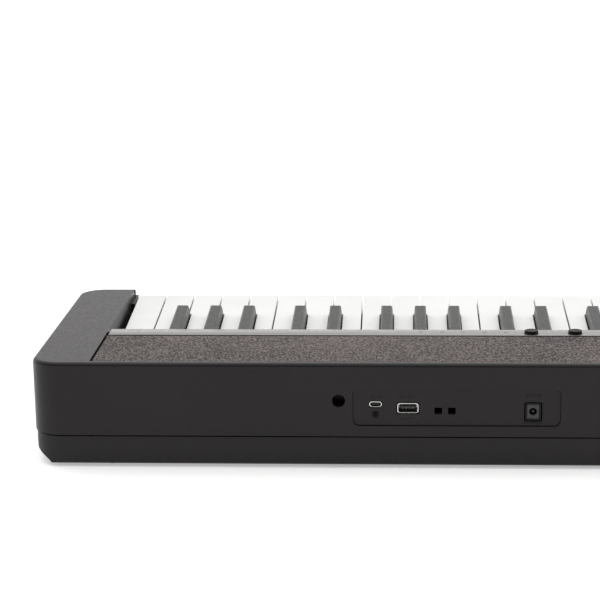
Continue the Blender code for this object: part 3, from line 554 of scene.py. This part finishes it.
def weaveMaterial():
    # light and dark yarns that lie a little longer from front to back
    material = startMaterial("heatherCloth", cloth["light"], 0.95, 0.0, 0.12)
    surface = material.node_tree.nodes["Principled BSDF"]
    surface.inputs["Sheen Weight"].default_value = 0.12
    surface.inputs["Sheen Roughness"].default_value = 0.5
    place = addNode(material, "ShaderNodeTexCoord")
    stretch = addNode(material, "ShaderNodeMapping")
    stretch.inputs["Scale"].default_value = (1.0, cloth["yarnStretch"], 1.0)
    connect(material, place.outputs["Object"], stretch.inputs["Vector"])
    grains = []
    for scale in cloth["yarnScales"]:
        grain = addNode(material, "ShaderNodeTexNoise", Scale=scale, Detail=2.0, Roughness=0.6)
        connect(material, stretch.outputs[0], grain.inputs["Vector"])
        grains.append(grain.outputs["Fac"])
    fine, coarse = grains
    slow = noise(material, 14.0, 2.0)
    both = addNode(material, "ShaderNodeMath", operation="MULTIPLY_ADD")
    both.inputs[1].default_value = cloth["yarnShares"][0]
    connect(material, fine, both.inputs[0])
    part = addNode(material, "ShaderNodeMath", operation="MULTIPLY")
    part.inputs[1].default_value = cloth["yarnShares"][1]
    connect(material, coarse, part.inputs[0])
    connect(material, part.outputs[0], both.inputs[2])
    drift = addNode(material, "ShaderNodeMath", operation="MULTIPLY_ADD")
    drift.inputs[1].default_value = 0.10
    drift.inputs[2].default_value = -0.05
    connect(material, slow, drift.inputs[0])
    total = addNode(material, "ShaderNodeMath", operation="ADD")
    connect(material, both.outputs[0], total.inputs[0])
    connect(material, drift.outputs[0], total.inputs[1])
    ramp = addNode(material, "ShaderNodeValToRGB")
    ramp.color_ramp.elements[0].position = cloth["darkUpTo"]
    ramp.color_ramp.elements[0].color = (*cloth["dark"], 1)
    ramp.color_ramp.elements[1].position = cloth["lightFrom"]
    ramp.color_ramp.elements[1].color = (*cloth["light"], 1)
    connect(material, total.outputs[0], ramp.inputs[0])
    setInput(material, "Base Color", ramp.outputs[0])
    addBump(material, both.outputs[0], cloth["bump"], 0.9)
    return material


def makeCloth():
    materials["heatherCloth"] = weaveMaterial()
    low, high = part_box("grille_cloth")
    width = high[0] - low[0]
    middle = (Vector(low) + Vector(high)) / 2
    run = (high[1] - low[1]) / upSlope.y
    bpy.ops.object.select_all(action="DESELECT")
    bpy.ops.mesh.primitive_grid_add(x_subdivisions=cloth["across"], y_subdivisions=cloth["along"], size=1)
    piece = bpy.context.object
    piece.name = "grille_fabric"
    piece.scale = (width, run - 0.0002, 1)
    bpy.ops.object.transform_apply(location=False, rotation=False, scale=True)
    grain = bpy.data.textures.new("threads", "CLOUDS")
    grain.noise_scale = cloth["grain"]
    grain.noise_depth = 1
    raised = piece.modifiers.new("threads", "DISPLACE")
    raised.texture = grain
    raised.texture_coords = "LOCAL"
    raised.direction = "Z"
    raised.strength = cloth["relief"]
    raised.mid_level = 1.0
    bpy.ops.object.modifier_apply(modifier="threads")
    bpy.ops.object.mode_set(mode="EDIT")
    bpy.ops.mesh.select_all(action="SELECT")
    bpy.ops.mesh.region_to_loop()
    bpy.ops.mesh.extrude_region_move(TRANSFORM_OT_translate={"value": (0, 0, -cloth["fold"] * 0.3)})
    bpy.ops.transform.resize(value=(1.0004, 1.003, 1), center_override=(0, 0, 0))
    bpy.ops.mesh.extrude_region_move(TRANSFORM_OT_translate={"value": (0, 0, -cloth["fold"] * 0.7)})
    bpy.ops.mesh.select_all(action="SELECT")
    bpy.ops.mesh.normals_make_consistent(inside=False)
    bpy.ops.object.mode_set(mode="OBJECT")
    if piece.data.polygons[0].normal.z < 0:
        piece.data.flip_normals()
    settle(piece, topFrame(0, middle.y, -clothSunk * 0.5), "heatherCloth", "case", 60)
    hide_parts("grille_cloth")


makeCloth()
print("grille cloth made")


# satin facing of the control strip, with a hole round each control

facing = {
    "endGap": 0.0022,
    "edgeGap": 0.0004,
    "sunk": 0.00010,
    "thick": 0.00022,
    "depth": 0.0199,
    "clear": 0.00035,
    "lampClear": 0.0001,
    "edge": 0.00008,
}
lampRow = {"radius": 0.00128, "count": 5, "first": 0.1861, "pitch": 0.0159, "fromGrille": 0.0115}
# each control's radius where it passes the facing
controlRadius = {"push_button_%d" % number: 0.0051 for number in range(1, 5)}
controlRadius.update({"power_button": 0.0045, "volume_knob": 0.0040})


def lampPlaces():
    # the middle of each lamp, from the treble end
    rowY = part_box("grille_cloth")[0][1] - grooveWidth - lampRow["fromGrille"] * upSlope.y
    return [(lampRow["first"] - index * lampRow["pitch"], rowY) for index in range(lampRow["count"])]


def makeFacing():
    low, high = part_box("grille_cloth")
    half = high[0] + endGrooveWidth - facing["endGap"]
    run = facing["depth"] / upSlope.y - 2 * facing["edgeGap"]
    rear = low[1] - grooveWidth - facing["edgeGap"]
    piece = blockPiece("strip_facing", (2 * half, run, facing["thick"]), (0, 0, 0), facing["edge"])
    middleY = rear - run / 2 * upSlope.y
    place = topFrame(0, middleY, facing["thick"] / 2 - facing["sunk"])
    settle(piece, place, "stripPlastic", "case")
    holes = [(x, y, lampRow["radius"] + facing["lampClear"]) for x, y in lampPlaces()]
    for name, radius in controlRadius.items():
        face = faceMiddle(name, topNormal)[0]
        foot = face - topNormal * (face - topPoint).dot(topNormal)
        holes.append((foot.x, foot.y, radius + facing["clear"]))
    cutters = []
    for x, y, radius in holes:
        bpy.ops.object.select_all(action="DESELECT")
        bpy.ops.mesh.primitive_cylinder_add(vertices=40, radius=radius, depth=0.004)
        cutter = bpy.context.object
        cutter.matrix_world = topFrame(x, y)
        bpy.ops.object.transform_apply(location=True, rotation=True, scale=True)
        cutters.append(cutter)
    cutter = joinPieces("holes", cutters)
    opening = piece.modifiers.new("holes", "BOOLEAN")
    opening.object = cutter
    opening.operation = "DIFFERENCE"
    opening.solver = "EXACT"
    bpy.context.view_layer.objects.active = piece
    bpy.ops.object.modifier_apply(modifier="holes")
    bpy.data.objects.remove(cutter)


makeFacing()
print("strip facing made")


# push buttons and power button: dished caps on their flanges

button = {"flange": 0.0012, "flangeDeep": 0.0012, "stem": 0.0027, "stemDeep": 0.0024, "dish": 0.00055}


def makeButton(name, radius):
    face, depth = faceMiddle(name, topNormal)
    seat = -depth + button["stemDeep"]
    wide = radius + button["flange"]
    profile = [
        (button["stem"], -depth), (button["stem"], seat), (wide, seat), (wide, seat + button["flangeDeep"]),
        (radius, seat + button["flangeDeep"]), (radius, -0.0007), (radius * 0.975, -0.00025),
        (radius * 0.92, -0.00004), (radius * 0.86, 0.0), (radius * 0.78, -0.00010),
        (radius * 0.60, -button["dish"] * 0.6), (radius * 0.35, -button["dish"] * 0.9),
        (radius * 0.08, -button["dish"]),
    ]
    cap = settle(turnedPiece(name + "_cap", profile), onTop(face), "buttonPlastic", name)
    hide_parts(name)


for name, radius in controlRadius.items():
    if name != "volume_knob":
        makeButton(name, radius)
print("buttons made")


# volume knob: ribbed side, chamfered top, and a pale pointer line

knob = {
    "radius": 0.0080,
    "height": 0.0085,
    "ribs": 72,
    "ribDeep": 0.00028,
    "ribInset": 0.00013,
    "ribSpan": (-0.0079, -0.0012),
    "ribFrom": 0.006,
    "line": (0.0009, 0.0042, 0.00010),
    "lineFrom": 0.0043,
    "lineSunk": 0.00008,
}


def makeKnob():
    face, depth = faceMiddle("volume_knob", topNormal)
    radius, shaft, foot = knob["radius"], controlRadius["volume_knob"], -knob["height"]
    profile = [
        (shaft, -depth), (shaft, foot), (radius, foot), (radius, foot + 0.0007),
        (radius * 0.985, -0.0014), (radius * 0.94, -0.0005), (radius * 0.88, 0.0),
        (radius * 0.80, -0.0001), (radius * 0.30, -0.0004), (radius * 0.04, -0.0004),
    ]
    piece = turnedPiece("volume_knob_grip", profile, knob["ribs"])

    def onSide(side):
        upright = abs(side.normal.z) < 0.2 and side.center.xy.length > knob["ribFrom"]
        return upright and knob["ribSpan"][0] < side.center.z < knob["ribSpan"][1]

    pickFaces(piece, onSide)
    bpy.ops.mesh.inset(thickness=knob["ribInset"], depth=-knob["ribDeep"], use_individual=True)
    bpy.ops.object.mode_set(mode="OBJECT")
    settle(piece, onTop(face), "buttonPlastic", "volume_knob", 25)
    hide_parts("volume_knob")
    middle = (0, knob["lineFrom"], -knob["lineSunk"])
    line = blockPiece("volume_knob_line", knob["line"], middle, 0.00002)
    settle(line, onTop(face), "paleInk", "volume_knob")


def inkMaterial(name, tone):
    # matt printing ink, a little uneven
    tone = Vector(tone)
    material = startMaterial(name, tone, 0.6, 0.0, 0.2)
    speckle = noise(material, 1600.0, 2.0)
    setInput(material, "Base Color", shade(material, speckle, tone * 0.8, tone * 1.2))
    return material


materials["markInk"] = inkMaterial("markInk", (0.0025, 0.0025, 0.0025))
materials["paleInk"] = inkMaterial("paleInk", (0.30, 0.30, 0.30))
makeKnob()
print("knob made")


# indicator lamps: small domed lenses in the strip

def lensMaterial():
    material = startMaterial("lampLens", (0.10, 0.10, 0.10), 0.18, 0.0, 0.5)
    cloud = noise(material, 700.0, 1.0)
    setInput(material, "Base Color", shade(material, cloud, (0.07, 0.07, 0.07), (0.14, 0.14, 0.135)))
    return material


def makeLamps():
    materials["lampLens"] = lensMaterial()
    radius = lampRow["radius"]
    profile = [
        (radius, -0.0050), (radius, -0.0003), (radius * 0.94, 0.0), (radius * 0.72, 0.00028),
        (radius * 0.42, 0.00046), (radius * 0.10, 0.00052),
    ]
    for number, (x, y) in enumerate(lampPlaces(), 1):
        lens = turnedPiece("lamp_lens_%d" % number, profile, 28)
        settle(lens, topFrame(x, y, -0.0001), "lampLens", "case")


makeLamps()
print("lamps made")


# rear terminals: flared metal shells with dark tongues and their contacts

def frontPlace(name):
    # the middle of a node's rear-facing end, with its width and height
    low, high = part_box(name)
    return (low[0] + high[0]) / 2, high[1], (low[2] + high[2]) / 2, high[0] - low[0], high[2] - low[2]


port = {
    "mouth": 0.0080,
    "tongueDeep": 0.0072,
    "tongueSunk": 0.0048,
    "shadeBlockDeep": 0.0050,
    "shadeBlockSunk": 0.0062,
    "contactDeep": 0.0054,
    "contactSunk": 0.0042,
    "contactThick": 0.00012,
    "edge": 0.0002,
    "lip": ((0.00022, 0.00012), (0.00030, -0.00006), (0.00018, -0.00040)),
}


def makePort(name, corner, tongue, contacts, contactSize):
    # tongue is its width, its height and how far it sits above the middle
    x, face, z, width, height = frontPlace(name)
    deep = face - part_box(name)[0][1]
    shell = blockPiece(name + "_shell", (width, deep, height), (x, face - deep / 2, z))
    bpy.ops.object.mode_set(mode="EDIT")
    bpy.ops.mesh.select_all(action="DESELECT")
    bpy.ops.mesh.select_mode(type="EDGE")
    bpy.ops.object.mode_set(mode="OBJECT")
    points = shell.data.vertices
    for edge in shell.data.edges:
        span = points[edge.vertices[0]].co - points[edge.vertices[1]].co
        edge.select = abs(span.y) > deep * 0.9
    bpy.ops.object.mode_set(mode="EDIT")
    bpy.ops.mesh.bevel(offset=corner, segments=6, affect="EDGES")
    bpy.ops.object.mode_set(mode="OBJECT")
    pickFaces(shell, lambda side: side.normal.y > 0.9)
    for inward, outward in port["lip"]:
        bpy.ops.mesh.inset(thickness=inward, depth=outward)
    bpy.ops.mesh.extrude_region_move(TRANSFORM_OT_translate={"value": (0, -port["mouth"], 0)})
    bpy.ops.object.mode_set(mode="OBJECT")
    settle(shell, Matrix.Identity(4), "nickel", "case")
    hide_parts(name)
    size = (tongue[0], port["tongueDeep"], tongue[1])
    dark = blockPiece(name + "_tongue", size, (x, face - port["tongueSunk"], z + tongue[2]), port["edge"])
    settle(dark, Matrix.Identity(4), "socketPlastic", "case")
    # a dark block inside the shell: painted shade that keeps the depth of the opening black instead of
    # showing its lit metal walls
    size = (width * 0.80, port["shadeBlockDeep"], height * 0.66)
    shadeBlock = blockPiece(name + "_shade_block", size, (x, face - port["shadeBlockSunk"], z), port["edge"])
    settle(shadeBlock, Matrix.Identity(4), "socketPlastic", "case")
    strips = []
    size = (contactSize, port["contactDeep"], port["contactThick"])
    level = z + tongue[2] - tongue[1] / 2 - port["contactThick"] / 3
    for index in range(contacts):
        across = (index - (contacts - 1) / 2) * tongue[0] / (contacts + 0.4)
        strips.append(blockPiece("contact", size, (x + across, face - port["contactSunk"], level)))
    settle(joinPieces(name + "_contacts", strips), Matrix.Identity(4), "nickel", "case")


shadowCollarDeep = 0.0003


def shadowCollarPiece(name, width, height, corner, wall, middle):
    # a rounded black frame round an opening, facing the rear: painted shadow of the gap round the opening
    bpy.ops.object.select_all(action="DESELECT")
    bpy.ops.mesh.primitive_plane_add(size=1)
    piece = bpy.context.object
    piece.name = name
    piece.scale = (width, height, 1)
    bpy.ops.object.transform_apply(location=False, rotation=False, scale=True)
    bpy.ops.object.mode_set(mode="EDIT")
    bpy.ops.mesh.select_all(action="SELECT")
    bpy.ops.mesh.bevel(offset=corner, segments=6, affect="VERTICES")
    bpy.ops.mesh.select_all(action="SELECT")
    bpy.ops.mesh.inset(thickness=wall)
    bpy.ops.mesh.delete(type="FACE")
    bpy.ops.object.mode_set(mode="OBJECT")
    thickness = piece.modifiers.new("wall", "SOLIDIFY")
    thickness.thickness = shadowCollarDeep
    thickness.offset = 0
    bpy.ops.object.modifier_apply(modifier="wall")
    piece.matrix_world = Matrix.Translation(middle) @ Matrix.Rotation(-math.pi / 2, 4, "X")
    bpy.ops.object.transform_apply(location=True, rotation=True, scale=True)
    return piece


def makeShadowCollar(node, extra, corner, wall, sunk):
    x, face, z, width, height = frontPlace(node)
    width, height, middle = width + 2 * extra, height + 2 * extra, (x, face - sunk, z)
    piece = shadowCollarPiece(node + "_shadow_surround", width, height, corner, wall, middle)
    # the frame takes the black rubber finish only to show painted shadow
    settle(piece, Matrix.Identity(4), "footRubber", "case")


def makePowerPin():
    x, face, z = frontPlace("power_socket")[:3]
    profile = [(0.0009, -0.0080), (0.0009, -0.0016), (0.0007, -0.0012), (0.0003, -0.0010)]
    pin = turnedPiece("power_pin", profile, 24)
    place = Matrix.Translation((x, face, z)) @ Matrix.Rotation(-math.pi / 2, 4, "X")
    settle(pin, place, "nickel", "case")


# painted shadow gaps round the two data ports and the power socket
makeShadowCollar("small_data_port", extra=0.0010, corner=0.0029, wall=0.00096, sunk=0.0)
makeShadowCollar("large_data_port", extra=0.0008, corner=0.0022, wall=0.00076, sunk=0.0)
makeShadowCollar("power_socket", extra=0.00005, corner=0.0007, wall=0.0013, sunk=-0.0001)
makePowerPin()
makePort("large_data_port", corner=0.0016, tongue=(0.0105, 0.0019, 0.0006), contacts=4, contactSize=0.0011)
makePort("small_data_port", corner=0.00205, tongue=(0.0056, 0.0008, 0.0), contacts=6, contactSize=0.0004)
print("ports made")


# printed marks by the terminals: plain generic signs

marks = {
    "thick": 0.00004,
    "line": 0.00032,
    "above": 0.0540,
    "below": 0.0377,
    "sign": 0.0556,
    "signPitch": 0.0042,
}


def stroke(x, z, width, height, face):
    return blockPiece("stroke", (width, marks["thick"], height), (x, face + marks["thick"] / 2, z))


def ringMark(x, z, radius, face):
    bpy.ops.object.select_all(action="DESELECT")
    bpy.ops.mesh.primitive_torus_add(
        major_segments=28, minor_segments=6, major_radius=radius, minor_radius=marks["line"] / 2,
        location=(x, face, z), rotation=(math.pi / 2, 0, 0),
    )
    ring = bpy.context.object
    bpy.ops.object.transform_apply(location=True, rotation=True, scale=True)
    bpy.ops.object.mode_set(mode="EDIT")
    bpy.ops.mesh.select_all(action="SELECT")
    bpy.ops.transform.resize(value=(1, 0.12, 1), center_override=(x, face, z))
    bpy.ops.object.mode_set(mode="OBJECT")
    return ring


def makeMarks():
    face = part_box("terminal_plate")[1][1]
    line = marks["line"]
    terminals = ("small_data_port", "large_data_port", "power_socket")
    small, large, power = [frontPlace(name)[0] for name in terminals]
    above, below, sign = marks["above"], marks["below"], marks["sign"]
    step = marks["signPitch"]
    strokes = [
        (small - 0.0018, above, 0.0044, line), (small - 0.0038, above, line, 0.0018),
        (large + 0.0008, above, 0.0056, line), (large - 0.0022, above, line, 0.0022),
        (large - 0.0042, above, 0.0026, line), (power - step, sign, line, 0.0010),
    ]
    strokes += [(small + side * 0.0016, below, 0.0010, line * 1.6) for side in (-1, 0, 1)]
    strokes += [(large + side * 0.0020, below, 0.0013, line * 1.6) for side in (-2, -1, 0, 1, 2)]
    strokes += [(power + side * step / 2, sign, 0.0020, line) for side in (-1, 1)]
    strokes += [(power + side * step, sign, 0.0010, line) for side in (-1, 1)]
    rings = [(small + 0.0022, above, 0.0011), (large + 0.0048, above, 0.0011)]
    rings += [(power + side * step, sign, 0.0010) for side in (-1, 0, 1)]
    bits = [ringMark(x, z, radius, face) for x, z, radius in rings]
    bits += [stroke(x, z, width, height, face) for x, z, width, height in strokes]
    settle(joinPieces("terminal_marks", bits), Matrix.Identity(4), "markInk", "case")


makeMarks()
print("marks made")


# underside: pan-head screws and a blank rating plate

underside = {
    "screwRadius": 0.0032,
    "screwRise": 0.0009,
    "screwColumns": (-0.38, -0.23, 0.02, 0.21, 0.38),
    "screwRows": (-0.085, 0.085),
    "plate": (0.070, 0.034, 0.00015),
    "plateMiddle": (0.10, 0.02),
}


def makeUnderside():
    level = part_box("lower_case")[0][2]
    radius, rise = underside["screwRadius"], underside["screwRise"]
    profile = [
        (radius, 0.0), (radius, 0.0003), (radius * 0.85, rise * 0.8), (radius * 0.55, rise),
        (radius * 0.50, rise - 0.0002), (radius * 0.40, rise - 0.0005), (radius * 0.08, rise - 0.0006),
    ]
    places = [(x, y) for x in underside["screwColumns"] for y in underside["screwRows"]]
    for number, (x, y) in enumerate(places, 1):
        place = Matrix.Translation((x, y, level)) @ Matrix.Rotation(math.pi, 4, "X")
        screw = turnedPiece("case_screw_%d" % number, profile, 32)
        settle(screw, place, "blackZinc", "case")
    middle = (*underside["plateMiddle"], level - 0.00006)
    plate = blockPiece("rating_plate", underside["plate"], middle, 0.00005)
    settle(plate, Matrix.Identity(4), "paleInk", "case")


makeUnderside()
print("underside made")
